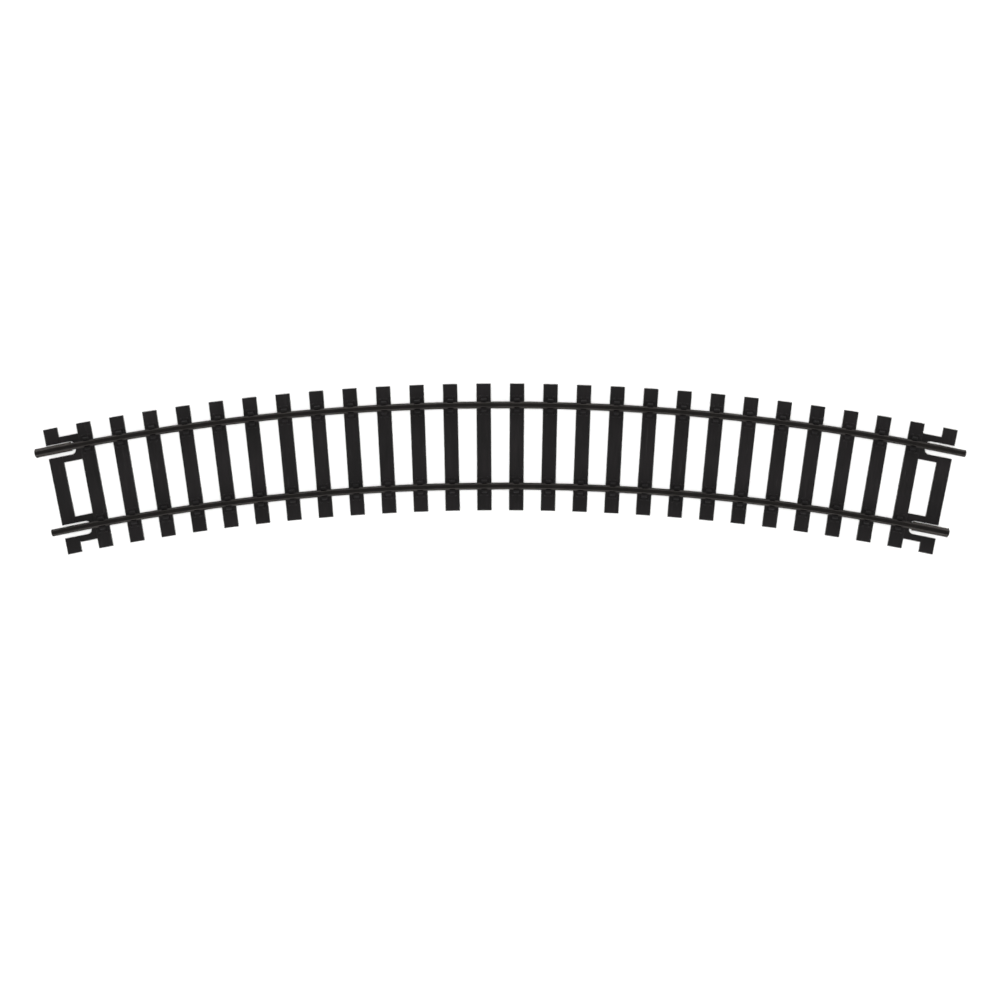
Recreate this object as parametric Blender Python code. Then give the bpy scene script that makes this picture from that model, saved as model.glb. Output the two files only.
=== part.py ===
"""Curved section of 16.5 mm gauge model railway track.

It is five pieces: one moulded base of 28 sleepers, two rails of drawn flat-bottom
section bent to the curve, and two folded metal joiners that slide on the rail ends.

Units are metres. +Z is up, +X runs along the chord of the curve and +Y points to the
outside of the curve. The origin is the middle of the footprint, at the underside.
"""

import math

import bmesh
import bpy
from mathutils import Matrix

# --- The curve ---------------------------------------------------------------------
GAUGE = 0.0165  # between the inner faces of the two railheads
CURVE_RADIUS = 0.474  # to the middle of the track
SECTION_ANGLE = math.radians(24.0)  # fifteen sections close a circle
SWEEP_STEPS = 28  # straight facets along each rail

# --- The rail section, measured from the underside of its foot -----------------------
RAIL_HEIGHT = 0.0021
HEAD_WIDTH = 0.00100
HEAD_DEPTH = 0.00050
HEAD_CORNER = 0.00018
HEAD_FLANK = 0.00012  # height of the slope from the head's side in to the web
WEB_THICKNESS = 0.00042
FOOT_WIDTH = 0.00148
FOOT_EDGE = 0.00016
FOOT_CROWN = 0.00036  # where the foot's slope meets the fillet
FILLET = 0.00012

# --- The moulded base ------------------------------------------------------------------
SLEEPER_COUNT = 28
SLEEPER_PITCH = 0.00705  # along the middle of the track
SLEEPER_LENGTH = 0.0274
SLEEPER_WIDTH = 0.00312
SLEEPER_HEIGHT = 0.0020
SLEEPER_DRAFT = 0.00008  # each side leans in by this much at the top
SLEEPER_BEVEL = 0.00014
BASE_OFFSET = -0.00029  # the moulding lies a little to the inside of the curve
STRIP_WIDTH = 0.0013  # strips under the rails that join sleeper to sleeper
STRIP_HEIGHT = 0.0012

CORE_WIDTH = 0.0016  # pockets in the underside keep the moulding's walls even
CORE_DEPTH = 0.0011
MIDDLE_CORE = 0.0120
OUTER_CORE = 0.0019
OUTER_CORE_AT = 0.01185  # its middle, from the middle of the sleeper

# --- Rail fixings, moulded on every sleeper but the two end ones ---------------------------
TIE_PLATE_LENGTH = 0.0042
TIE_PLATE_WIDTH = 0.0023
TIE_PLATE_RISE = 0.00010
CLIP_WIDTH = 0.0012
CLIP_REACH = 0.00145  # from the middle of the rail to the clip's back
CLIP_RISE = 0.00068  # above the sleeper
CLIP_GRIP = 0.00014  # how far the lip reaches over the foot
FIT_GAP = 0.00005  # between the rail's foot and what holds it

# --- Slotted plates at the ends, which leave room for a joiner --------------------------------
PLATE_WIDTH = 0.0056
PLATE_HEIGHT = 0.0018
SLOT_WIDTH = 0.0029
SLOT_CORNER = 0.0010
SLOT_CORNER_STEPS = 5
SLOT_BRIDGE = 0.0009  # plate left between the slot and the second sleeper

# --- Rail joiners ------------------------------------------------------------------------------
JOINER_LENGTH = 0.0079
JOINER_SHEET = 0.00016
JOINER_GAP = 0.00005
JOINER_SETBACK = 0.00015  # from the end of the rail, pushed right back
JOINER_FLARE = 1.07  # the mouths open by this ratio
JOINER_MOUTH = 0.0007

# --- What follows from the values above -----------------------------------------------------
RAIL_OFFSET = (GAUGE + HEAD_WIDTH) / 2
PITCH_ANGLE = SLEEPER_PITCH / CURVE_RADIUS
LAST_SLEEPER = (SLEEPER_COUNT - 1) / 2 * PITCH_ANGLE  # angle of the end sleepers
RAIL_FOOT_Z = SLEEPER_HEIGHT + TIE_PLATE_RISE + FIT_GAP
END_ANGLE = SECTION_ANGLE / 2
CUT_MARGIN = 0.001  # how far a cutter runs past what it cuts
SUNK = 0.0002  # how far a moulded detail starts inside the sleeper

# The footprint's middle in Y lies halfway between the outer end of a middle sleeper
# and the inner end of an end sleeper, both at their outermost corners.
OUTER_TIP = CURVE_RADIUS + BASE_OFFSET + SLEEPER_LENGTH / 2
INNER_TIP = CURVE_RADIUS + BASE_OFFSET - SLEEPER_LENGTH / 2
HIGHEST = OUTER_TIP * math.cos(PITCH_ANGLE / 2) + SLEEPER_WIDTH / 2 * math.sin(PITCH_ANGLE / 2)
LOWEST = INNER_TIP * math.cos(LAST_SLEEPER) - SLEEPER_WIDTH / 2 * math.sin(LAST_SLEEPER)
CURVE_CENTRE_Y = -(HIGHEST + LOWEST) / 2


def on_curve(angle, radius=CURVE_RADIUS, height=0.0):
    """Axes at a place on the curve: X along the track, Y away from the curve's centre."""
    turn = Matrix.Rotation(-angle, 4, "Z")
    centre = Matrix.Translation((0, CURVE_CENTRE_Y, 0))
    return centre @ turn @ Matrix.Translation((0, radius, height))


def loft(bm, rings):
    """Closed solid through rings of points, with a face on each end."""
    loops = [[bm.verts.new(point) for point in ring] for ring in rings]
    for near, far in zip(loops, loops[1:]):
        for i in range(len(near)):
            j = (i + 1) % len(near)
            bm.faces.new((near[i], near[j], far[j], far[i]))
    bm.faces.new(list(reversed(loops[0])))
    bm.faces.new(loops[-1])


def bar(bm, axes, outline, start, end):
    """Outline in the local YZ plane, extruded along local X."""
    loft(bm, [[axes @ Matrix.Translation((x, y, z)).translation for y, z in outline]
              for x in (start, end)])


def block(bm, axes, along, across, low, high):
    """Plain block centred on the axes: along the track, across it, and its two heights."""
    half = across / 2
    bar(bm, axes, [(-half, low), (half, low), (half, high), (-half, high)], -along / 2, along / 2)


def mirrored(half):
    """Right half of an outline, from bottom centre to top centre, completed to the left."""
    return half + [(-y, z) for y, z in reversed(half) if y > 0]


def arc(centre, radius, first, last, steps):
    """Points on an arc, with its angles in degrees."""
    turns = [math.radians(first + (last - first) * i / steps) for i in range(steps + 1)]
    return [(centre[0] + radius * math.cos(t), centre[1] + radius * math.sin(t)) for t in turns]


def make_material(name, colour, roughness, metallic):
    material = bpy.data.materials.new(name)
    material.use_nodes = True
    shader = material.node_tree.nodes["Principled BSDF"]
    shader.inputs["Base Color"].default_value = (*colour, 1.0)
    shader.inputs["Roughness"].default_value = roughness
    shader.inputs["Metallic"].default_value = metallic
    return material


def make_object(name, bm, material=None, smooth_angle=None):
    """Turns a bmesh into a named object in the scene."""
    bmesh.ops.recalc_face_normals(bm, faces=bm.faces)
    mesh = bpy.data.meshes.new(name)
    bm.to_mesh(mesh)
    bm.free()
    if smooth_angle:
        mesh.shade_smooth()
        mesh.set_sharp_from_angle(angle=smooth_angle)
    obj = bpy.data.objects.new(name, mesh)
    bpy.context.scene.collection.objects.link(obj)
    if material:
        mesh.materials.append(material)
    return obj


def combine(obj, bm, name, operation):
    """Joins a group of shapes to obj, or cuts them from it."""
    helper = make_object(name, bm)
    helper.hide_render = True
    helper.display_type = "WIRE"
    modifier = obj.modifiers.new(name, "BOOLEAN")
    modifier.operation = operation
    modifier.object = helper
    modifier.solver = "EXACT"


def sleeper_angles():
    """Angle of each sleeper, from the left end of the section to the right."""
    return [(i - (SLEEPER_COUNT - 1) / 2) * PITCH_ANGLE for i in range(SLEEPER_COUNT)]


def fixing_places():
    """Axes under the rail at each sleeper that holds it, X along the rail."""
    return [on_curve(angle, CURVE_RADIUS + side * RAIL_OFFSET)
            for angle in sleeper_angles()[1:-1] for side in (-1, 1)]


def sleepers():
    """The 28 sleepers: straight bars with drafted sides and worn top edges."""
    bm = bmesh.new()
    for angle in sleeper_angles():
        axes = on_curve(angle, CURVE_RADIUS + BASE_OFFSET)
        size = Matrix.Diagonal((SLEEPER_WIDTH, SLEEPER_LENGTH, SLEEPER_HEIGHT, 1))
        lift = Matrix.Translation((0, 0, SLEEPER_HEIGHT / 2))
        made = bmesh.ops.create_cube(bm, size=1, matrix=lift @ size)
        top = [v for v in made["verts"] if v.co.z > SLEEPER_HEIGHT / 2]
        for vert in top:
            vert.co.x -= math.copysign(SLEEPER_DRAFT, vert.co.x)
            vert.co.y -= math.copysign(SLEEPER_DRAFT, vert.co.y)
        rim = [e for e in {e for v in top for e in v.link_edges}
               if all(v.co.z > SLEEPER_HEIGHT / 2 for v in e.verts)]
        cut = bmesh.ops.bevel(bm, geom=rim, offset=SLEEPER_BEVEL, segments=1,
                              profile=0.5, affect="EDGES")
        whole = {v for v in made["verts"] if v.is_valid} | set(cut["verts"])
        bmesh.ops.transform(bm, matrix=axes, verts=list(whole))
    return bm


def strips():
    """The two strips under the rails, from the second sleeper to the last but one."""
    bm = bmesh.new()
    reach = LAST_SLEEPER - PITCH_ANGLE
    for side in (-1, 1):
        outline = [(-STRIP_WIDTH / 2, 0), (STRIP_WIDTH / 2, 0),
                   (STRIP_WIDTH / 2, STRIP_HEIGHT), (-STRIP_WIDTH / 2, STRIP_HEIGHT)]
        turn_section(bm, outline, CURVE_RADIUS + side * RAIL_OFFSET, 0, reach, SLEEPER_COUNT - 3)
    return bm


def turn_section(bm, outline, radius, height, reach, steps):
    """Sweeps a cross-section round the curve's centre, from -reach to +reach."""
    axes = on_curve(-reach, radius, height)
    corners = [bm.verts.new(axes @ Matrix.Translation((0, y, z)).translation) for y, z in outline]
    face = bm.faces.new(corners)
    bmesh.ops.spin(bm, geom=corners + list(face.edges) + [face], cent=(0, CURVE_CENTRE_Y, 0),
                   axis=(0, 0, -1), angle=2 * reach, steps=steps)


def tie_plates():
    """Raised pads that the rails stand on."""
    bm = bmesh.new()
    for axes in fixing_places():
        block(bm, axes, TIE_PLATE_WIDTH, TIE_PLATE_LENGTH,
              SLEEPER_HEIGHT - SUNK, SLEEPER_HEIGHT + TIE_PLATE_RISE)
    return bm


def rail_clips():
    """A clip on each side of the rail at each fixing, with a lip over the edge of the foot."""
    low = SLEEPER_HEIGHT - SUNK / 2
    wall = FOOT_WIDTH / 2 + FIT_GAP
    lip = FOOT_WIDTH / 2 - CLIP_GRIP
    under = RAIL_FOOT_Z + FOOT_EDGE + FIT_GAP
    slope = (FOOT_CROWN - FOOT_EDGE) / (FOOT_WIDTH / 2 - WEB_THICKNESS / 2 - FILLET)
    top = SLEEPER_HEIGHT + CLIP_RISE
    shape = [(wall, low), (wall, under), (lip, under + slope * (wall - lip)),
             (lip, top - 0.00008), (lip + 0.00012, top), (CLIP_REACH - 0.0004, top),
             (CLIP_REACH, top - 0.00032), (CLIP_REACH, low)]
    bm = bmesh.new()
    for axes in fixing_places():
        for side in (-1, 1):
            outline = [(side * y, z) for y, z in shape]
            bar(bm, axes, outline, -CLIP_WIDTH / 2, CLIP_WIDTH / 2)
    return bm


def end_places():
    """Axes of each of the four rail ends' slots: X points out of the section."""
    middle = LAST_SLEEPER - PITCH_ANGLE / 4
    places = []
    for side in (-1, 1):
        radius = CURVE_RADIUS + BASE_OFFSET + side * RAIL_OFFSET
        places.append(on_curve(middle, radius))
        places.append(on_curve(-middle, radius) @ Matrix.Rotation(math.pi, 4, "Z"))
    return places


def end_plates():
    """Plates between each end sleeper and the next one, one round each rail."""
    bm = bmesh.new()
    quarter = SLEEPER_PITCH / 4  # end_places lie this far inside the end sleeper's middle
    for axes in end_places():
        half = PLATE_WIDTH / 2
        outline = [(-half, 0), (half, 0), (half, PLATE_HEIGHT), (-half, PLATE_HEIGHT)]
        bar(bm, axes, outline, quarter - SLEEPER_PITCH, quarter)
    return bm


def slots():
    """Open slots with a rounded inner end, cut through the plates and the end sleepers."""
    bm = bmesh.new()
    closed = SLEEPER_PITCH / 4 - SLEEPER_PITCH + SLEEPER_WIDTH / 2 + SLOT_BRIDGE
    mouth = SLEEPER_PITCH / 4 + SLEEPER_WIDTH / 2 + CUT_MARGIN
    half = SLOT_WIDTH / 2
    inset = closed + SLOT_CORNER
    outline = [(mouth, -half), (mouth, half)]
    outline += arc((inset, half - SLOT_CORNER), SLOT_CORNER, 90, 180, SLOT_CORNER_STEPS)
    outline += arc((inset, SLOT_CORNER - half), SLOT_CORNER, 180, 270, SLOT_CORNER_STEPS)
    for axes in end_places():
        loft(bm, [[axes @ Matrix.Translation((x, y, z)).translation for x, y in outline]
                  for z in (-CUT_MARGIN, SLEEPER_HEIGHT + CUT_MARGIN)])
    return bm


def core_pockets():
    """Open pockets in the underside of each sleeper: one between the rails, two outside them."""
    bm = bmesh.new()
    for angle in sleeper_angles():
        for across, length in ((0, MIDDLE_CORE), (-OUTER_CORE_AT, OUTER_CORE),
                               (OUTER_CORE_AT, OUTER_CORE)):
            axes = on_curve(angle, CURVE_RADIUS + BASE_OFFSET + across)
            block(bm, axes, CORE_WIDTH, length, -CUT_MARGIN, CORE_DEPTH)
    return bm


def sleeper_base(material):
    """The moulded ladder of sleepers, strips, plates and rail fixings."""
    base = make_object("sleeper_base", sleepers(), material)
    combine(base, strips(), "strips", "UNION")
    combine(base, end_plates(), "end_plates", "UNION")
    combine(base, tie_plates(), "tie_plates", "UNION")
    combine(base, rail_clips(), "rail_clips", "UNION")
    combine(base, slots(), "slots", "DIFFERENCE")
    combine(base, core_pockets(), "core_pockets", "DIFFERENCE")
    return base


def rail_section():
    """Flat-bottom rail: sloped foot, thin web with fillets, and a head with rounded corners."""
    foot, web, head = FOOT_WIDTH / 2, WEB_THICKNESS / 2, HEAD_WIDTH / 2
    under_head = RAIL_HEIGHT - HEAD_DEPTH
    half = [(foot, 0.0), (foot, FOOT_EDGE), (web + FILLET, FOOT_CROWN)]
    half += [(web + FILLET * 0.3, FOOT_CROWN + FILLET * 0.7), (web, FOOT_CROWN + 2 * FILLET)]
    half += [(web, under_head - HEAD_FLANK - FILLET), (web + FILLET * 0.4, under_head - HEAD_FLANK)]
    half += [(head, under_head)]
    half += arc((head - HEAD_CORNER, RAIL_HEIGHT - HEAD_CORNER), HEAD_CORNER, 0, 90, 3)
    return mirrored(half)


def rail(name, side, material):
    """One length of rail, bent to its own radius on the outside or inside of the track."""
    bm = bmesh.new()
    radius = CURVE_RADIUS + side * RAIL_OFFSET
    turn_section(bm, rail_section(), radius, RAIL_FOOT_Z, END_ANGLE, SWEEP_STEPS)
    return make_object(name, bm, material, smooth_angle=math.radians(25))


def joiner_section():
    """Sheet folded round the rail's foot: flat below, upright sides, lips up to the web."""
    sheet, gap = JOINER_SHEET, JOINER_GAP
    side = FOOT_WIDTH / 2 + gap
    run = FOOT_WIDTH / 2 - WEB_THICKNESS / 2 - FILLET
    tilt = math.atan2(FOOT_CROWN - FOOT_EDGE, run)
    lip_end = WEB_THICKNESS / 2 + FILLET

    def above_foot(y, clear):
        """Point that lies this far clear of the foot's sloping top, square to it."""
        z = FOOT_EDGE + (FOOT_WIDTH / 2 - y) * math.tan(tilt)
        return (y + clear * math.sin(tilt), z + clear * math.cos(tilt))

    corner = sheet * 0.7
    outer = [(side + sheet - corner, -gap - sheet), (side + sheet, -gap - sheet + corner),
             (side + sheet, FOOT_EDGE + sheet / 2), above_foot(FOOT_WIDTH / 2, gap + sheet),
             above_foot(lip_end, gap + sheet)]
    inner = [above_foot(lip_end, gap), (side, FOOT_EDGE + gap), (side, -gap)]
    right = outer + inner
    return right + [(-y, z) for y, z in reversed(right)]


def joiner(name, end, side, material):
    """One joiner, pushed right back on its rail end. Its origin is on the slide's axis."""
    outline = joiner_section()
    half = JOINER_LENGTH / 2
    stations = [(-half, JOINER_FLARE), (JOINER_MOUTH - half, 1), (half - JOINER_MOUTH, 1),
                (half, JOINER_FLARE)]
    bm = bmesh.new()
    loft(bm, [[(x, y * flare, z * flare) for y, z in outline] for x, flare in stations])
    obj = make_object(name, bm, material, smooth_angle=math.radians(50))
    radius = CURVE_RADIUS + side * RAIL_OFFSET
    middle = END_ANGLE - (JOINER_SETBACK + half) / radius
    obj.matrix_world = on_curve(end * middle, radius, RAIL_FOOT_Z)
    return obj


def main():
    for obj in list(bpy.data.objects):
        bpy.data.objects.remove(obj)
    plastic = make_material("sleeper_plastic", (0.017, 0.014, 0.015), 0.55, 0.0)
    rail_metal = make_material("rail_metal", (0.035, 0.032, 0.031), 0.38, 1.0)
    joiner_metal = make_material("joiner_metal", (0.050, 0.045, 0.041), 0.42, 1.0)
    sleeper_base(plastic)
    rail("outer_rail", 1, rail_metal)
    rail("inner_rail", -1, rail_metal)
    # Facing out of either end, the joiner is on the right-hand rail, so that any end
    # meets any other with one joiner on each rail.
    joiner("left_rail_joiner", -1, 1, joiner_metal)
    joiner("right_rail_joiner", 1, -1, joiner_metal)


main()
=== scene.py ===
"""Looks for a curved section of 16.5 mm gauge model railway track, built round its CAD frame.

Everything is in metres, in the CAD model's frame: +Z up, +Y to the outside of the curve,
origin in the middle of the footprint at the underside of the sleepers.
"""

import math

import bmesh
import bpy
from mathutils import Matrix, Vector, noise


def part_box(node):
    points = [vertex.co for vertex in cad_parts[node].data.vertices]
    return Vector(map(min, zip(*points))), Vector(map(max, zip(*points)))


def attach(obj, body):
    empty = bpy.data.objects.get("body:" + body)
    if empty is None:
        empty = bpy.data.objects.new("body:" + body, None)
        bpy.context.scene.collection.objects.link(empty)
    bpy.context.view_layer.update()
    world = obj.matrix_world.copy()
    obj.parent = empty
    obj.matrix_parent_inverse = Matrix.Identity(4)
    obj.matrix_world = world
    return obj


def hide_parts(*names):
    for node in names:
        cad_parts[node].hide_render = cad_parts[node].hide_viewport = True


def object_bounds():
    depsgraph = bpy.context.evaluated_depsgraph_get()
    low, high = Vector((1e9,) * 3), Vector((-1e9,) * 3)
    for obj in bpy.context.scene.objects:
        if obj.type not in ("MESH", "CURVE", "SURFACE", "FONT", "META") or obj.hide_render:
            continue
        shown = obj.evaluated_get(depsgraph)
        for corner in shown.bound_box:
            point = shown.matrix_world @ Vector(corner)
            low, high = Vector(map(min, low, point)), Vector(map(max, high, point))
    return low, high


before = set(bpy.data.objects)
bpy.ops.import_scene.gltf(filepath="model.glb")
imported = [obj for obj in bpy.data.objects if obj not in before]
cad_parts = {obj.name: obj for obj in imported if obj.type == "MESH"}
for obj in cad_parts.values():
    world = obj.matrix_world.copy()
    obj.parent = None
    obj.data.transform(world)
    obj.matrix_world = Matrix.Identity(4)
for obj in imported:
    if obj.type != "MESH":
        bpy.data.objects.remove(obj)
cad_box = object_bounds()


# --- Sleeper base ----------------------------------------------------------------------
# One injection moulding in black ABS: 28 sleepers with wood grain in their tops, joined by
# two strips under the rails. Rail plates, clips and screw heads are moulded on, and the
# end sleepers are slotted so that a joiner fits round each rail end.

MM = 0.001
GAUGE = 16.5 * MM
HEAD_WIDTH = 1.0 * MM
FOOT_WIDTH = 1.48 * MM
CURVE_RADIUS = 474 * MM
RAIL_OFFSET = (GAUGE + HEAD_WIDTH) / 2
OUTER, INNER = 1, -1  # which side of the track's middle a rail is on
# The outer rail's foot reaches the CAD rail's highest Y in the middle of the section.
CURVE_CENTRE_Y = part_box("outer_rail")[1].y - CURVE_RADIUS - RAIL_OFFSET - FOOT_WIDTH / 2

SLEEPER_COUNT = 28
SLEEPER_PITCH = 7.05 * MM
SLEEPER_LENGTH = 27.4 * MM
SLEEPER_WIDTH = 3.12 * MM
SLEEPER_HEIGHT = 2.0 * MM
SLEEPER_DRAFT = 0.05 * MM  # each side leans in by this much at the top
SLEEPER_ROUNDING = 0.16 * MM
ROUNDING_ENDS = 75  # degrees up the rounding, where the top's own edge begins
BEND_HEIGHT = 0.45  # of the sleeper's height, where its side has a row of points
BASE_OFFSET = -0.29 * MM  # the moulding lies a little to the inside of the curve
PITCH_ANGLE = SLEEPER_PITCH / CURVE_RADIUS
LAST_SLEEPER = (SLEEPER_COUNT - 1) / 2 * PITCH_ANGLE

GRAIN_STEPS = 18  # points across a sleeper's top
GRAIN_STATIONS = 54  # points along it
GRAIN_WIDTH = 0.42 * MM  # of the soft bands between the year rings
GRAIN_LENGTH = 5.5 * MM
GRAIN_DEPTH = 0.045 * MM
CRACK_SPACING = 1.3 * MM  # drying cracks, deeper and further apart
CRACK_LENGTH = 11 * MM
CRACK_DEPTH = 0.090 * MM
CRACK_SHARE = 0.075  # how near zero the noise is inside a crack
CRACK_REACH = 0.35  # how much of a sleeper's length has its cracks
CRACK_WANDER = 0.35  # how far a crack strays sideways, in crack spacings


def on_curve(angle, radius=CURVE_RADIUS, height=0.0):
    """Axes at a place on the curve: X along the track, Y away from the curve's centre."""
    turn = Matrix.Rotation(-angle, 4, "Z")
    centre = Matrix.Translation((0, CURVE_CENTRE_Y, 0))
    return centre @ turn @ Matrix.Translation((0, radius, height))


def arc(centre, radius, first, last, steps):
    """Points on an arc, with its angles in degrees."""
    turns = [math.radians(first + (last - first) * i / steps) for i in range(steps + 1)]
    return [(centre[0] + radius * math.cos(t), centre[1] + radius * math.sin(t)) for t in turns]


def loft(bm, rings):
    """Closed solid through rings of points, with a face on each end."""
    loops = [[bm.verts.new(point) for point in ring] for ring in rings]
    for near, far in zip(loops, loops[1:]):
        for i in range(len(near)):
            j = (i + 1) % len(near)
            bm.faces.new((near[i], near[j], far[j], far[i]))
    bm.faces.new(list(reversed(loops[0])))
    bm.faces.new(loops[-1])


def sweep(bm, outline, axes_list):
    """Closed solid of a YZ outline carried through a list of axes."""
    loft(bm, [[axes @ Vector((0, y, z)) for y, z in outline] for axes in axes_list])


def make_object(name, bm):
    bmesh.ops.recalc_face_normals(bm, faces=bm.faces)
    mesh = bpy.data.meshes.new(name)
    bm.to_mesh(mesh)
    bm.free()
    obj = bpy.data.objects.new(name, mesh)
    bpy.context.scene.collection.objects.link(obj)
    return obj


def combined(first, groups):
    """Joins groups of shapes to an object or cuts them from it, and keeps only the result."""
    helpers = []
    for operation, bm in groups:
        helper = make_object("helper", bm)
        modifier = first.modifiers.new("combine", "BOOLEAN")
        modifier.operation = operation
        modifier.object = helper
        modifier.solver = "MANIFOLD"
        helpers.append(helper)
    graph = bpy.context.evaluated_depsgraph_get()
    mesh = bpy.data.meshes.new_from_object(first.evaluated_get(graph))
    first.modifiers.clear()
    first.data = mesh
    for helper in helpers:
        bpy.data.objects.remove(helper)


def shade(obj, material, sharp_angle):
    """Smooth shading with sharp edges where faces meet at more than this angle."""
    obj.data.materials.clear()
    obj.data.materials.append(material)
    obj.data.shade_smooth()
    obj.data.set_sharp_from_angle(angle=math.radians(sharp_angle))


def grain_drop(across, along, seed):
    """How far the wood grain sinks a sleeper's surface at a place on it.

    The numbers beside the seed put each pattern in a part of the noise of its own.
    """
    band = noise.noise((across / GRAIN_WIDTH + seed, along / GRAIN_LENGTH, seed * 1.7))
    wander = noise.noise((along / GRAIN_LENGTH, seed * 0.9, 3.1)) * CRACK_WANDER
    crack = abs(noise.noise((across / CRACK_SPACING + wander, along / CRACK_LENGTH, seed * 2.3)))
    deep = max(0.0, 1 - crack / CRACK_SHARE)
    reach = max(0.0, noise.noise((along / (CRACK_LENGTH / 2), seed, 9.7)) + CRACK_REACH)
    return GRAIN_DEPTH * (0.5 + 0.5 * band) + CRACK_DEPTH * deep * min(1.0, reach * 2)


def sleeper_rings(axes, seed):
    """A sleeper as rings across its length: drafted sides, round top edges, grained top."""
    half, high, rounding = SLEEPER_WIDTH / 2, SLEEPER_HEIGHT, SLEEPER_ROUNDING
    lean = SLEEPER_DRAFT / high
    edge = half - lean * high - rounding
    side = [(half, 0), (half - lean * high * BEND_HEIGHT, high * BEND_HEIGHT)]
    corner = arc((edge, high - rounding), rounding, 0, ROUNDING_ENDS, 4)
    top = [(edge - 2 * edge * i / GRAIN_STEPS, high) for i in range(GRAIN_STEPS + 1)]
    outline = side + corner + top
    outline += [(-x, z) for x, z in reversed(side + corner)]

    reach = SLEEPER_LENGTH / 2 - rounding
    ends = arc((reach, high - rounding), rounding, 0, ROUNDING_ENDS, 3)  # (along, top's height)
    flat = [(-reach + 2 * reach * i / GRAIN_STATIONS, high) for i in range(GRAIN_STATIONS + 1)]
    stations = [(-y, z) for y, z in ends] + flat + list(reversed(ends))
    rings = []
    for along, cap in stations:
        ring = []
        for x, z in outline:
            z = min(z, cap)
            if z > high - rounding:
                z -= grain_drop(x, along, seed) * min(1.0, (z - high + rounding) / rounding)
            ring.append(axes @ Vector((x, along * (1 - lean * z / reach), z)))
        rings.append(ring)
    return rings


sleeper_angles = [(i - (SLEEPER_COUNT - 1) / 2) * PITCH_ANGLE for i in range(SLEEPER_COUNT)]
sleepers = bmesh.new()
for number, angle in enumerate(sleeper_angles):
    seed = 7.3 * number + 1.1  # so that no two sleepers have the same grain
    loft(sleepers, sleeper_rings(on_curve(angle, CURVE_RADIUS + BASE_OFFSET), seed))

STRIP_WIDTH = 1.3 * MM
STRIP_HEIGHT = 1.2 * MM
STRIP_BEVEL = 0.12 * MM
STRIP_STATIONS = SLEEPER_COUNT * 2


def bevelled(half, low, high, bevel):
    """Outline of a bar with bevelled top edges."""
    return [(-half, low), (half, low), (half, high - bevel), (half - bevel, high),
            (bevel - half, high), (-half, high - bevel)]


strips = bmesh.new()
strip_reach = LAST_SLEEPER - PITCH_ANGLE
for side in (OUTER, INNER):
    turns = [strip_reach * (2 * i / STRIP_STATIONS - 1) for i in range(STRIP_STATIONS + 1)]
    sweep(strips, bevelled(STRIP_WIDTH / 2, 0, STRIP_HEIGHT, STRIP_BEVEL),
          [on_curve(turn, CURVE_RADIUS + side * RAIL_OFFSET) for turn in turns])

# Each rail stands on a bevelled plate with a clip on each side. The clip's lip follows the
# slope of the rail's foot, and four moulded screw heads stand at the plate's corners.
PLATE_LENGTH = 4.2 * MM  # across the track
PLATE_WIDTH = 2.3 * MM
PLATE_RISE = 0.10 * MM
PLATE_BEVEL = 0.05 * MM
SUNK = 0.25 * MM  # how far a detail starts inside the sleeper
FIT_GAP = 0.05 * MM
FOOT_EDGE = 0.16 * MM  # how thick the rail's foot is at its edge
FOOT_CROWN = 0.36 * MM  # and where it meets the web
WEB_THICKNESS = 0.42 * MM
FILLET = 0.12 * MM
RAIL_FOOT_Z = SLEEPER_HEIGHT + PLATE_RISE + FIT_GAP
CLIP_WIDTH = 1.2 * MM
CLIP_REACH = 1.45 * MM
CLIP_RISE = 0.68 * MM
CLIP_GRIP = 0.14 * MM  # how far the lip reaches over the foot
CLIP_LIP_ROUNDING = 0.10 * MM
CLIP_BACK_ROUNDING = 0.34 * MM
CLIP_END_ROUNDING = 0.07 * MM
SCREW_AT = (1.80 * MM, 0.72 * MM)  # across and along, from the middle of the plate
SCREW_SIZE = 0.26 * MM  # radius, before the washer's and the head's shares of it
SCREW_RISE = 0.24 * MM
SCREW_FOOT = SLEEPER_HEIGHT + PLATE_RISE - 0.04 * MM
SCREW_TOP = SCREW_FOOT + SCREW_RISE
# Height and share of the radius: the washer first, then the head.
SCREW_PROFILE = ((SCREW_FOOT, 1.25), (SCREW_FOOT + 0.08 * MM, 1.2),
                 (SCREW_FOOT + 0.09 * MM, 0.95), (SCREW_TOP - 0.06 * MM, 0.9),
                 (SCREW_TOP - 0.02 * MM, 0.72), (SCREW_TOP, 0.35))

fixings = [on_curve(angle, CURVE_RADIUS + side * RAIL_OFFSET)
           for angle in sleeper_angles[1:-1] for side in (OUTER, INNER)]


def corners(x, y):
    """The corners of a rectangle that reaches this far from its middle."""
    return (x, y), (-x, y), (-x, -y), (x, -y)


plates = bmesh.new()
for axes in fixings:
    low, high = SLEEPER_HEIGHT - SUNK, SLEEPER_HEIGHT + PLATE_RISE
    rings = []
    for z, inset in ((low, 0), (high - PLATE_BEVEL, 0), (high, PLATE_BEVEL)):
        x, y = PLATE_WIDTH / 2 - inset, PLATE_LENGTH / 2 - inset
        rings.append([axes @ Vector((*corner, z)) for corner in corners(x, y)])
    loft(plates, rings)

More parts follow.
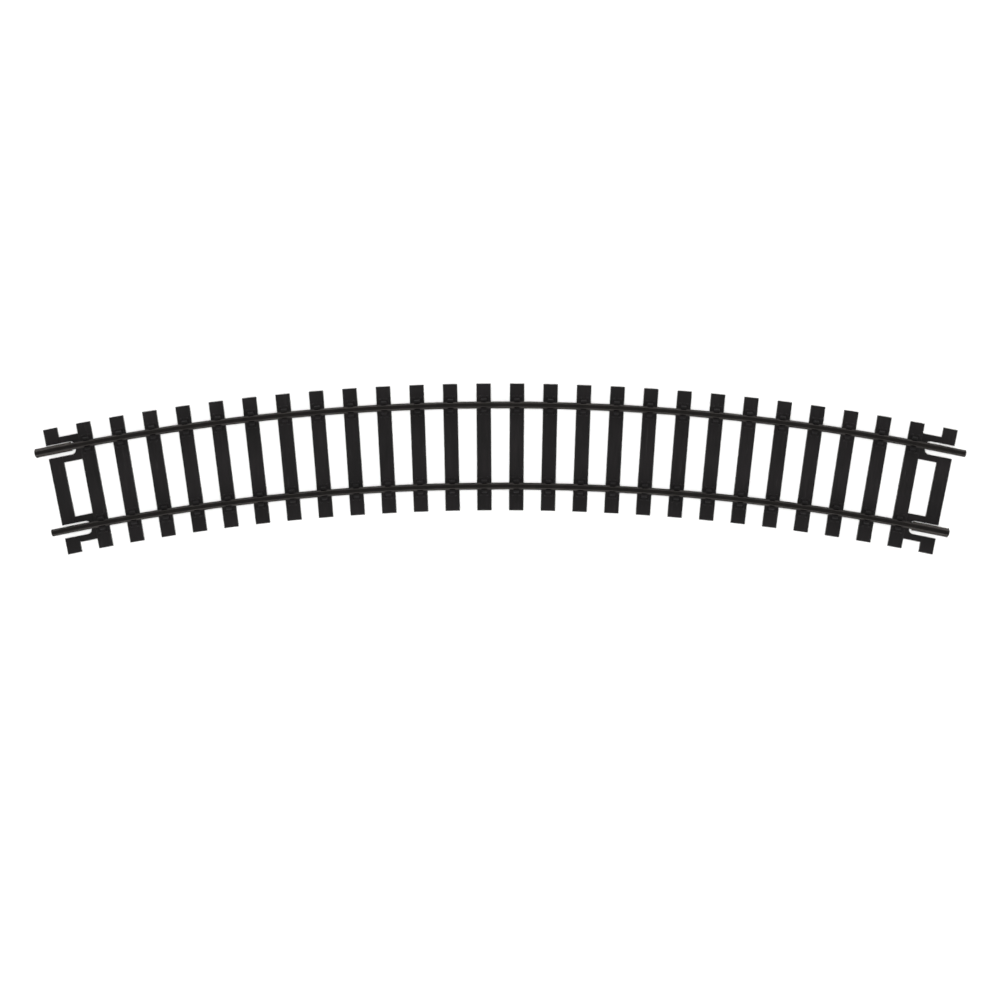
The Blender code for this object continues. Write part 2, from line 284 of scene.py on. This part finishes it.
wall = FOOT_WIDTH / 2 + FIT_GAP
lip = FOOT_WIDTH / 2 - CLIP_GRIP
under = RAIL_FOOT_Z + FOOT_EDGE + FIT_GAP
slope = (FOOT_CROWN - FOOT_EDGE) / (FOOT_WIDTH / 2 - WEB_THICKNESS / 2 - FILLET)
clip_top = SLEEPER_HEIGHT + CLIP_RISE
clip_foot = SLEEPER_HEIGHT - SUNK / 2
clip_outline = [(wall, clip_foot), (wall, under), (lip, under + slope * (wall - lip))]
clip_outline += arc((lip + CLIP_LIP_ROUNDING, clip_top - CLIP_LIP_ROUNDING),
                    CLIP_LIP_ROUNDING, 180, 90, 3)
clip_outline += arc((CLIP_REACH - CLIP_BACK_ROUNDING, clip_top - CLIP_BACK_ROUNDING),
                    CLIP_BACK_ROUNDING, 90, 0, 4)
clip_outline += [(CLIP_REACH, clip_foot)]

clips = bmesh.new()
for axes in fixings:
    for side in (OUTER, INNER):
        half, rounding = CLIP_WIDTH / 2, CLIP_END_ROUNDING
        rings = []
        for x, drop in ((-half, rounding), (rounding - half, 0), (half - rounding, 0),
                        (half, rounding)):
            rings.append([axes @ Vector((x, side * y, z - drop * (z > under)))
                          for y, z in clip_outline])
        loft(clips, rings)

screws = bmesh.new()
for axes in fixings:
    for across in (-SCREW_AT[0], SCREW_AT[0]):
        for along in (-SCREW_AT[1], SCREW_AT[1]):
            loft(screws, [[axes @ Vector((along + x, across + y, z))
                           for x, y in arc((0, 0), SCREW_SIZE * share, 0, 315, 7)]
                          for z, share in SCREW_PROFILE])

# The end plates join each end sleeper to the next one, and hold the joiner's slot.
END_PLATE_WIDTH = 5.6 * MM
END_PLATE_HEIGHT = 1.8 * MM
SLOT_WIDTH = 2.9 * MM
SLOT_CORNER = 1.0 * MM
SLOT_BRIDGE = 0.9 * MM
CUT_MARGIN = 1.0 * MM

end_places = []
for side in (OUTER, INNER):
    radius = CURVE_RADIUS + BASE_OFFSET + side * RAIL_OFFSET
    middle = LAST_SLEEPER - PITCH_ANGLE / 4
    end_places.append(on_curve(middle, radius))
    end_places.append(on_curve(-middle, radius) @ Matrix.Rotation(math.pi, 4, "Z"))

end_plates = bmesh.new()
slots = bmesh.new()
for axes in end_places:
    outline = bevelled(END_PLATE_WIDTH / 2, 0, END_PLATE_HEIGHT, STRIP_BEVEL)
    reach = (SLEEPER_PITCH / 4 - SLEEPER_PITCH, SLEEPER_PITCH / 4)
    sweep(end_plates, outline, [axes @ Matrix.Translation((x, 0, 0)) for x in reach])
    closed = reach[0] + SLEEPER_WIDTH / 2 + SLOT_BRIDGE + SLOT_CORNER
    half = SLOT_WIDTH / 2
    mouth = reach[1] + SLEEPER_WIDTH / 2 + CUT_MARGIN
    outline = [(mouth, -half), (mouth, half)]
    outline += arc((closed, half - SLOT_CORNER), SLOT_CORNER, 90, 180, 10)
    outline += arc((closed, SLOT_CORNER - half), SLOT_CORNER, 180, 270, 10)
    loft(slots, [[axes @ Vector((x, y, z)) for x, y in outline]
                 for z in (-CUT_MARGIN, SLEEPER_HEIGHT + CUT_MARGIN)])

# Pockets in the underside keep the walls even, and round marks show where the pins that
# push the moulding out of its tool stood.
CORE_WIDTH = 1.6 * MM
CORE_DEPTH = 1.1 * MM
CORE_DRAFT = 0.06 * MM
CORES = ((0, 12.0 * MM), (-11.85 * MM, 1.9 * MM), (11.85 * MM, 1.9 * MM))  # place and length
PIN_RADIUS = 0.5 * MM
PIN_DEPTH = 0.06 * MM
PIN_EVERY = 3  # sleepers from one pair of pins to the next

cores = bmesh.new()
pins = bmesh.new()
for number, angle in enumerate(sleeper_angles):
    axes = on_curve(angle, CURVE_RADIUS + BASE_OFFSET)
    for place, length in CORES:
        rings = []
        for z, inset in ((-CUT_MARGIN, 0), (0, 0), (CORE_DEPTH, CORE_DRAFT)):
            x, y = CORE_WIDTH / 2 - inset, length / 2 - inset
            rings.append([axes @ Vector((px, place + py, z)) for px, py in corners(x, y)])
        loft(cores, rings)
    if number % PIN_EVERY == 1 and number < SLEEPER_COUNT - 1:
        for place in (-RAIL_OFFSET, RAIL_OFFSET):
            loft(pins, [[axes @ Vector((x, place + y, z))
                         for x, y in arc((0, 0), PIN_RADIUS, 0, 345, 23)]
                        for z in (-CUT_MARGIN, PIN_DEPTH)])

base = make_object("moulded_sleepers", sleepers)
combined(base, [("UNION", strips), ("UNION", end_plates), ("UNION", plates), ("UNION", clips),
                ("UNION", screws), ("DIFFERENCE", slots), ("DIFFERENCE", cores),
                ("DIFFERENCE", pins)])


def linear(hex_colour):
    """An sRGB hex colour as linear RGBA."""
    parts = [int(hex_colour[i:i + 2], 16) / 255 for i in (1, 3, 5)]
    return (*[c / 12.92 if c <= 0.04045 else ((c + 0.055) / 1.055) ** 2.4 for c in parts], 1.0)


def new_material(name):
    material = bpy.data.materials.new(name)
    material.use_nodes = True
    return material, material.node_tree.nodes["Principled BSDF"]


def add_node(material, kind, inputs, **settings):
    """Adds a node with its settings. Each input is set to a value, or linked to a socket."""
    tree = material.node_tree
    node = tree.nodes.new(kind)
    for key, value in settings.items():
        setattr(node, key, value)
    connect(material, node, inputs)
    return node


def connect(material, node, inputs):
    for key, value in inputs.items():
        if isinstance(value, bpy.types.NodeSocket):
            material.node_tree.links.new(value, node.inputs[key])
        else:
            node.inputs[key].default_value = value


def track_coordinates(material):
    """Distance round the curve and distance from its centre, in metres, and height."""
    place = add_node(material, "ShaderNodeTexCoord", {}).outputs["Object"]
    split = add_node(material, "ShaderNodeSeparateXYZ", {"Vector": place}).outputs
    out = add_node(material, "ShaderNodeMath", {0: split["Y"], 1: CURVE_CENTRE_Y},
                   operation="SUBTRACT").outputs[0]
    turn = add_node(material, "ShaderNodeMath", {0: split["X"], 1: out}, operation="ARCTAN2")
    round_curve = add_node(material, "ShaderNodeMath", {0: turn.outputs[0], 1: CURVE_RADIUS},
                           operation="MULTIPLY").outputs[0]
    flat = add_node(material, "ShaderNodeCombineXYZ", {"X": split["X"], "Y": out}).outputs[0]
    from_centre = add_node(material, "ShaderNodeVectorMath", {0: flat}, operation="LENGTH")
    return round_curve, from_centre.outputs["Value"], split["Z"]


def stretched(material, coordinates, sizes):
    """Coordinates counted in units of a pattern's size in each direction."""
    scaled = [add_node(material, "ShaderNodeMath", {0: value, 1: size}, operation="DIVIDE")
              for value, size in zip(coordinates, sizes)]
    return add_node(material, "ShaderNodeCombineXYZ",
                    {axis: node.outputs[0] for axis, node in zip("XYZ", scaled)}).outputs[0]


# ABS, moulded in a spark-eroded steel tool: near-black, satin, with a fine even grain and
# wood streaks along each sleeper. Handling has rubbed the streaks slightly smoother.
ABS_DARK, ABS_LIGHT = "#0c0b0b", "#181516"
STREAK_WIDTH = 0.28 * MM
STREAK_LENGTH = 6 * MM
SPARK_GRAIN = 0.11 * MM  # a real tool's grain is 0.03 mm, too fine to show
BLOTCH = 9 * MM

abs_plastic, shader = new_material("abs_spark_eroded_black")
where = track_coordinates(abs_plastic)
streaks = add_node(abs_plastic, "ShaderNodeTexNoise",
                   {"Vector": stretched(abs_plastic, where, (STREAK_WIDTH, STREAK_LENGTH, MM)),
                    "Scale": 1.0, "Detail": 5.0, "Roughness": 0.6, "Distortion": 0.4})
blotches = add_node(abs_plastic, "ShaderNodeTexNoise",
                    {"Vector": stretched(abs_plastic, where, (BLOTCH, BLOTCH, BLOTCH)),
                     "Scale": 1.0, "Detail": 3.0, "Roughness": 0.5})
spark = add_node(abs_plastic, "ShaderNodeTexNoise",
                 {"Vector": stretched(abs_plastic, where, (SPARK_GRAIN,) * 3),
                  "Scale": 1.0, "Detail": 2.0, "Roughness": 0.6})
tone = add_node(abs_plastic, "ShaderNodeMath",
                {0: streaks.outputs["Fac"], 1: blotches.outputs["Fac"]}, operation="MULTIPLY")
colour = add_node(abs_plastic, "ShaderNodeMapRange",
                  {"Value": tone.outputs[0], "From Min": 0.12, "From Max": 0.42})
mix = add_node(abs_plastic, "ShaderNodeMix",
               {"Factor": colour.outputs["Result"],
                "A": linear(ABS_DARK), "B": linear(ABS_LIGHT)},
               data_type="RGBA")
rough = add_node(abs_plastic, "ShaderNodeMapRange",
                 {"Value": streaks.outputs["Fac"], "From Min": 0.3, "From Max": 0.7,
                  "To Min": 0.46, "To Max": 0.62})
streak_bump = add_node(abs_plastic, "ShaderNodeBump",
                       {"Height": streaks.outputs["Fac"], "Strength": 0.5,
                        "Distance": 0.05 * MM})
spark_bump = add_node(abs_plastic, "ShaderNodeBump",
                      {"Height": spark.outputs["Fac"], "Strength": 0.35, "Distance": 0.02 * MM,
                       "Normal": streak_bump.outputs["Normal"]})
connect(abs_plastic, shader, {"Base Color": mix.outputs["Result"],
                              "Roughness": rough.outputs["Result"],
                              "Normal": spark_bump.outputs["Normal"],
                              "IOR": 1.54, "Metallic": 0.0})

shade(base, abs_plastic, 38)
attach(base, "track")
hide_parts("sleeper_base")


# --- Rails -----------------------------------------------------------------------------
# Drawn nickel silver in flat-bottom section, chemically blackened, bent to the curve and
# threaded through the clips. The ends are cut square and touched with a file.

RAIL_HEIGHT = 2.1 * MM
HEAD_DEPTH = 0.50 * MM
HEAD_CORNER = 0.18 * MM
HEAD_FLANK = 0.12 * MM
SECTION_ANGLE = math.radians(24.0)
RAIL_STATIONS = 140
RAIL_EDGE = 0.04 * MM
FILE_CHAMFER = 0.05 * MM
FILE_SIDES = 0.6  # of the chamfer, taken off the sides at the very end
FILE_HEIGHT = 0.03  # of the height from the rail's middle, taken off there too


def rail_half_section():
    """The right half of the rail, from the bottom of its foot to the top of its head."""
    foot, web, head = FOOT_WIDTH / 2, WEB_THICKNESS / 2, HEAD_WIDTH / 2
    under_head = RAIL_HEIGHT - HEAD_DEPTH
    edge = RAIL_EDGE
    half = [(foot - edge, 0), (foot, edge), (foot, FOOT_EDGE - edge), (foot - edge, FOOT_EDGE)]
    half += arc((web + FILLET, FOOT_CROWN + FILLET), FILLET, 255, 180, 4)
    half += arc((web + FILLET, under_head - HEAD_FLANK - FILLET), FILLET, 180, 110, 4)
    half += [(head - edge, under_head - edge * 0.3), (head, under_head + edge)]
    half += arc((head - HEAD_CORNER, RAIL_HEIGHT - HEAD_CORNER), HEAD_CORNER, 0, 90, 6)
    return half


rail_half = rail_half_section()
rail_outline = rail_half + [(-y, z) for y, z in reversed(rail_half)]


def rail_piece(name, side):
    """One rail, with each end's edges filed back a little."""
    radius = CURVE_RADIUS + side * RAIL_OFFSET
    filed = FILE_CHAMFER / radius
    end = SECTION_ANGLE / 2
    full = [(end - filed) * (2 * i / RAIL_STATIONS - 1) for i in range(RAIL_STATIONS + 1)]
    bm = bmesh.new()
    rings = []
    for turn, shrink in [(-end, 1)] + [(t, 0) for t in full] + [(end, 1)]:
        axes = on_curve(turn, radius, RAIL_FOOT_Z)
        ring = []
        for y, z in rail_outline:
            y -= math.copysign(min(abs(y), FILE_CHAMFER * FILE_SIDES), y) * shrink
            z += (RAIL_HEIGHT / 2 - z) * FILE_HEIGHT * shrink
            ring.append(axes @ Vector((0, y, z)))
        rings.append(ring)
    loft(bm, rings)
    return make_object(name, bm)


# Blackened nickel silver: a dark oxide over bright metal. It stays satin in the web, with
# fine marks from the drawing die along it, and wheels rub the top of the head smoother.
OXIDE, RUBBED = "#3c3a39", "#66625f"
RUBBED_DEPTH = 0.06 * MM  # below the top of the head
DIE_MARK = 0.06 * MM
MARK_LENGTH = 14 * MM
PATINA = 3.5 * MM

blackened_metal, shader = new_material("nickel_silver_blackened")
where = track_coordinates(blackened_metal)
height = where[2]
marks = add_node(blackened_metal, "ShaderNodeTexNoise",
                 {"Vector": stretched(blackened_metal, where, (MARK_LENGTH, DIE_MARK, DIE_MARK)),
                  "Scale": 1.0, "Detail": 3.0, "Roughness": 0.6})
patina = add_node(blackened_metal, "ShaderNodeTexNoise",
                  {"Vector": stretched(blackened_metal, where, (PATINA,) * 3),
                   "Scale": 1.0, "Detail": 4.0, "Roughness": 0.6})
head_top = RAIL_FOOT_Z + RAIL_HEIGHT
near_top = add_node(blackened_metal, "ShaderNodeMapRange",
                    {"Value": height, "From Min": head_top - RUBBED_DEPTH, "From Max": head_top})
rubbed = add_node(blackened_metal, "ShaderNodeMath",
                  {0: near_top.outputs["Result"], 1: marks.outputs["Fac"]}, operation="MULTIPLY")
worn = add_node(blackened_metal, "ShaderNodeMapRange",
                {"Value": patina.outputs["Fac"], "From Min": 0.35, "From Max": 0.75,
                 "To Min": 0.0, "To Max": 0.35})
amount = add_node(blackened_metal, "ShaderNodeMath",
                  {0: rubbed.outputs[0], 1: worn.outputs["Result"]}, operation="ADD",
                  use_clamp=True)
mix = add_node(blackened_metal, "ShaderNodeMix",
               {"Factor": amount.outputs[0], "A": linear(OXIDE), "B": linear(RUBBED)},
               data_type="RGBA")
rough = add_node(blackened_metal, "ShaderNodeMapRange",
                 {"Value": amount.outputs[0], "To Min": 0.46, "To Max": 0.30})
mark_bump = add_node(blackened_metal, "ShaderNodeBump",
                     {"Height": marks.outputs["Fac"], "Strength": 0.3, "Distance": 0.01 * MM})
connect(blackened_metal, shader, {"Base Color": mix.outputs["Result"],
                                  "Roughness": rough.outputs["Result"],
                                  "Normal": mark_bump.outputs["Normal"], "Metallic": 1.0})

for name, node, side in (("outer_rail_drawn", "outer_rail", OUTER),
                         ("inner_rail_drawn", "inner_rail", INNER)):
    rail = rail_piece(name, side)
    shade(rail, blackened_metal, 30)
    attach(rail, "track")
    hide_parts(node)


# --- Rail joiners ----------------------------------------------------------------------
# Sleeves folded from 0.16 mm nickel silver sheet round the foot of the rail, blackened like
# it. Their mouths flare to lead the next rail in, and two pinches grip the foot.

SHEET = 0.16 * MM
JOINER_GAP = 0.05 * MM
JOINER_LENGTH = 7.9 * MM
JOINER_SETBACK = 0.15 * MM  # from the rail's end, pushed right back
JOINER_STATIONS = 40
JOINER_FLARE = 0.07  # how much wider the mouths are
JOINER_MOUTH = 0.7 * MM
FOLD_RADIUS = 0.05 * MM  # inside the folds
FOLD_DROP = 0.6  # of that radius, from the gap above the foot to the upper fold's middle
PINCH_AT = 2.0 * MM  # from the joiner's middle
PINCH_LENGTH = 0.5 * MM
PINCH_DEPTH = 0.035 * MM


def joiner_half_section():
    """Right half of the folded sheet: up its outside to the lip, and back down its inside."""
    side = FOOT_WIDTH / 2 + JOINER_GAP
    floor = -JOINER_GAP
    run = FOOT_WIDTH / 2 - WEB_THICKNESS / 2 - FILLET
    tilt = math.degrees(math.atan2(FOOT_CROWN - FOOT_EDGE, run))
    inner_fold = FOLD_RADIUS
    outer_fold = inner_fold + SHEET
    low = (side - inner_fold, floor + inner_fold)  # the middles of the two folds
    high = (side - inner_fold, FOOT_EDGE + JOINER_GAP - inner_fold * FOLD_DROP)
    lip = WEB_THICKNESS / 2 + FILLET

    def lip_end(radius):
        """Point where the sloping sheet's face, tangent to the fold, reaches the lip's end."""
        t = math.radians(90 - tilt)
        x, z = high[0] + radius * math.cos(t), high[1] + radius * math.sin(t)
        return (lip, z + (x - lip) * math.tan(math.radians(tilt)))

    outside = arc(low, outer_fold, 270, 360, 5) + arc(high, outer_fold, 0, 90 - tilt, 5)
    outside.append(lip_end(outer_fold))
    inside = [lip_end(inner_fold)] + arc(high, inner_fold, 90 - tilt, 0, 3)
    inside += arc(low, inner_fold, 360, 270, 3)
    return outside + inside


joiner_half = joiner_half_section()
joiner_outline = joiner_half + [(-y, z) for y, z in reversed(joiner_half)]


def joiner_piece(name, end, side):
    """One joiner, pushed right back on its rail end."""
    half = JOINER_LENGTH / 2
    stations = [half * (2 * i / JOINER_STATIONS - 1) for i in range(JOINER_STATIONS + 1)]
    rings = []
    for x in stations:
        into_mouth = max(0.0, abs(x) - (half - JOINER_MOUTH)) / JOINER_MOUTH
        flare = 1 + JOINER_FLARE * into_mouth ** 2
        pinch = PINCH_DEPTH * math.exp(-(((abs(x) - PINCH_AT) / PINCH_LENGTH) ** 2))
        ring = []
        for y, z in joiner_outline:
            lip = max(0.0, 1 - abs(y) / (FOOT_WIDTH / 2)) if z > FOOT_EDGE else 0.0
            ring.append((x, y * flare, z * flare - pinch * lip))
        rings.append(ring)
    bm = bmesh.new()
    loft(bm, rings)
    joiner = make_object(name, bm)
    radius = CURVE_RADIUS + side * RAIL_OFFSET
    middle = SECTION_ANGLE / 2 - (JOINER_SETBACK + half) / radius
    joiner.matrix_world = on_curve(end * middle, radius, RAIL_FOOT_Z)
    return joiner


# Blackened sheet: the same oxide, a little browner, worn through along the folds and
# mouths where fingers and rails rub it. Rolling leaves faint lines along the sheet.
SHEET_OXIDE, SHEET_WORN = "#403d3b", "#6a6562"
ROLL_LINE = 0.08 * MM
ROLL_LENGTH = 6 * MM
SPOT = 0.9 * MM

blackened_sheet, shader = new_material("nickel_silver_sheet_blackened")
place = add_node(blackened_sheet, "ShaderNodeTexCoord", {}).outputs["Object"]
split = add_node(blackened_sheet, "ShaderNodeSeparateXYZ", {"Vector": place}).outputs
lines = add_node(blackened_sheet, "ShaderNodeTexNoise",
                 {"Vector": stretched(blackened_sheet, (split["X"], split["Y"], split["Z"]),
                                      (ROLL_LENGTH, ROLL_LINE, ROLL_LINE)),
                  "Scale": 1.0, "Detail": 3.0, "Roughness": 0.6})
spots = add_node(blackened_sheet, "ShaderNodeTexNoise",
                 {"Vector": stretched(blackened_sheet, (split["X"], split["Y"], split["Z"]),
                                      (SPOT,) * 3),
                  "Scale": 1.0, "Detail": 4.0, "Roughness": 0.65})
sharpness = add_node(blackened_sheet, "ShaderNodeNewGeometry", {}).outputs["Pointiness"]
edge_wear = add_node(blackened_sheet, "ShaderNodeMapRange",
                     {"Value": sharpness, "From Min": 0.52, "From Max": 0.60})
wear = add_node(blackened_sheet, "ShaderNodeMath",
                {0: edge_wear.outputs["Result"], 1: spots.outputs["Fac"]}, operation="MULTIPLY",
                use_clamp=True)
mix = add_node(blackened_sheet, "ShaderNodeMix",
               {"Factor": wear.outputs[0], "A": linear(SHEET_OXIDE), "B": linear(SHEET_WORN)},
               data_type="RGBA")
rough = add_node(blackened_sheet, "ShaderNodeMapRange",
                 {"Value": lines.outputs["Fac"], "To Min": 0.32, "To Max": 0.52})
line_bump = add_node(blackened_sheet, "ShaderNodeBump",
                     {"Height": lines.outputs["Fac"], "Strength": 0.3, "Distance": 0.01 * MM})
connect(blackened_sheet, shader, {"Base Color": mix.outputs["Result"],
                                  "Roughness": rough.outputs["Result"],
                                  "Normal": line_bump.outputs["Normal"], "Metallic": 1.0})

for name, body, node, end, side in (
        ("left_joiner_folded", "left_joiner", "left_rail_joiner", -1, OUTER),
        ("right_joiner_folded", "right_joiner", "right_rail_joiner", 1, INNER)):
    joiner = joiner_piece(name, end, side)
    shade(joiner, blackened_sheet, 50)
    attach(joiner, body)
    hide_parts(node)


# --- Floor, light and camera -------------------------------------------------------------
# A sheet of matt white card. A polarised soft box straight overhead lights the card down to
# the bottom of the slots without glare, and four weaker boxes round the track light edges.

CARD = "#f4f4f3"
FLOOR_RADIUS = 6.0
FLOOR_DROP = 0.02 * MM
CARD_FIBRE = 0.8 * MM

card, shader = new_material("matt_white_card")
place = add_node(card, "ShaderNodeTexCoord", {}).outputs["Object"]
fibres = add_node(card, "ShaderNodeTexNoise",
                  {"Vector": place, "Scale": 1 / CARD_FIBRE, "Detail": 3.0, "Roughness": 0.5})
fibre_bump = add_node(card, "ShaderNodeBump",
                      {"Height": fibres.outputs["Fac"], "Strength": 0.05, "Distance": 0.02 * MM})
connect(card, shader, {"Base Color": linear(CARD), "Roughness": 0.85,
                       "Normal": fibre_bump.outputs["Normal"]})
bm = bmesh.new()
bmesh.ops.create_circle(bm, cap_ends=True, segments=96, radius=FLOOR_RADIUS)
bmesh.ops.translate(bm, verts=bm.verts, vec=(0, 0, -FLOOR_DROP))
floor = make_object("card_floor", bm)
floor.data.materials.append(card)

BOX_DISTANCE = 2.4
# Each box: azimuth and elevation in degrees, diameter in metres, watts, and whether it
# shows in gloss. The overhead box is polarised across the camera's filter, so it doesn't.
SOFT_BOXES = {"overhead": (0, 90, 0.8, 60.0, False), "left": (-68, 38, 0.9, 6.0, True),
              "right": (68, 38, 0.9, 6.0, True), "far": (180, 34, 1.2, 6.0, True),
              "near": (0, 34, 1.2, 5.0, True)}
for name, (azimuth, elevation, size, watts, in_gloss) in SOFT_BOXES.items():
    a, e = math.radians(azimuth), math.radians(elevation)
    towards = Vector((math.sin(a) * math.cos(e), -math.cos(a) * math.cos(e), math.sin(e)))
    lamp = bpy.data.lights.new(f"soft_box_{name}", "AREA")
    lamp.shape = "DISK"
    lamp.size = size
    lamp.energy = watts
    box = bpy.data.objects.new(lamp.name, lamp)
    box.location = towards * BOX_DISTANCE
    box.rotation_euler = (-towards).to_track_quat("-Z", "Y").to_euler()
    box.visible_camera = False
    box.visible_glossy = in_gloss
    bpy.context.scene.collection.objects.link(box)

# The room is white at the horizon and dim overhead. It fades between two heights, given as
# the sine of the elevation.
HORIZON, ZENITH = 0.70, 0.10
FADE_FROM, FADE_TO = 0.20, 0.75
world = bpy.data.worlds.new("studio")
bpy.context.scene.world = world
world.use_nodes = True
sky = add_node(world, "ShaderNodeTexCoord", {}).outputs["Generated"]
up = add_node(world, "ShaderNodeSeparateXYZ", {"Vector": sky}).outputs["Z"]
fade = add_node(world, "ShaderNodeMapRange",
                {"Value": up, "From Min": FADE_FROM, "From Max": FADE_TO,
                 "To Min": HORIZON, "To Max": ZENITH}, interpolation_type="SMOOTHSTEP")
connect(world, world.node_tree.nodes["Background"],
        {"Color": (1.0, 1.0, 1.0, 1.0), "Strength": fade.outputs["Result"]})

LENS = 300.0  # long, so that the plan view has next to no perspective
SENSOR = 36.0
FRAME_SHARE = 0.9331  # of the picture's width that the track fills
RAISED = 0.03105  # of the picture's width that the track sits above the middle
ASIDE = 0.00035  # and to the right of it
low, high = cad_box
middle = (low + high) / 2
frame_width = (high.x - low.x) / FRAME_SHARE
camera_data = bpy.data.cameras.new("camera")
camera_data.lens = LENS
camera_data.sensor_width = SENSOR
camera_data.clip_start = 0.05
camera_data.clip_end = 50
camera = bpy.data.objects.new("camera", camera_data)
camera.location = (middle.x - ASIDE * frame_width, middle.y - RAISED * frame_width,
                   high.z + frame_width * LENS / SENSOR)
bpy.context.scene.collection.objects.link(camera)
bpy.context.scene.camera = camera
bpy.context.scene.view_settings.view_transform = "Standard"
